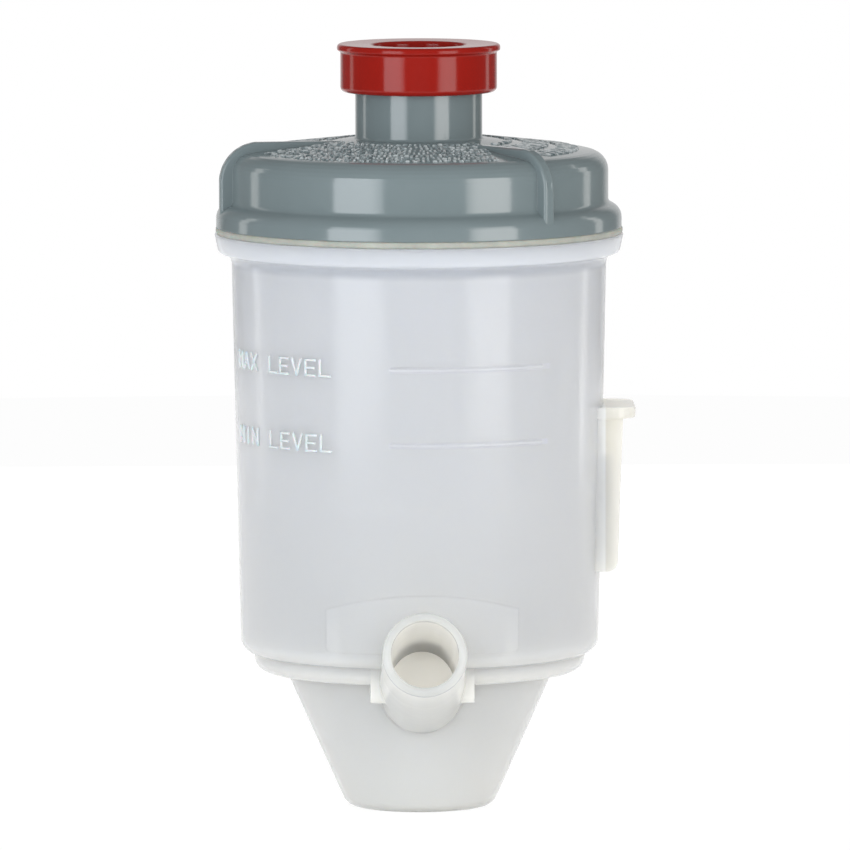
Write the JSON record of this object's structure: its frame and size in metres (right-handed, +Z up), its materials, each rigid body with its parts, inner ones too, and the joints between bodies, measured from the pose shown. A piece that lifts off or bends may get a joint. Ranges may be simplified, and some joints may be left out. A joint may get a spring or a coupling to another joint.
{
  "type": "power steering reservoir",
  "caption": "Translucent steering fluid tank with a cone sump, a tilted suction port, a return port, a welded lid and a pull-off filler cap.",
  "frame": {"origin": "centre of the flat foot under the cone, on the tank's axis", "axes": "+Z up along the tank's axis, -Y the way the suction port points, +X towards the bracket shoe"},
  "size_m": [0.0881, 0.1281, 0.1605],
  "materials": {
    "tank": "milky translucent moulding, satin",
    "lid": "semi-gloss moulding",
    "weld_bead": "melted flash of the weld",
    "cap": "gloss moulding",
    "seal": "black oil-proof rubber",
    "inner_plastic": "natural nylon",
    "strainer_cloth": "fine woven nylon"
  },
  "bodies": {
    "reservoir": {"tank": "tank", "lid": "lid", "weld_bead": "weld_bead", "strainer_frame": "inner_plastic", "strainer_mesh": "strainer_cloth", "baffle": "inner_plastic"},
    "cap": {"cap": "cap", "cap_seal": "seal"}
  },
  "joints": [
    {"name": "cap_lift", "type": "slide", "parent": "reservoir", "child": "cap", "axis": [0, 0, 1], "range_m": [0, 0.04]}
  ]
}
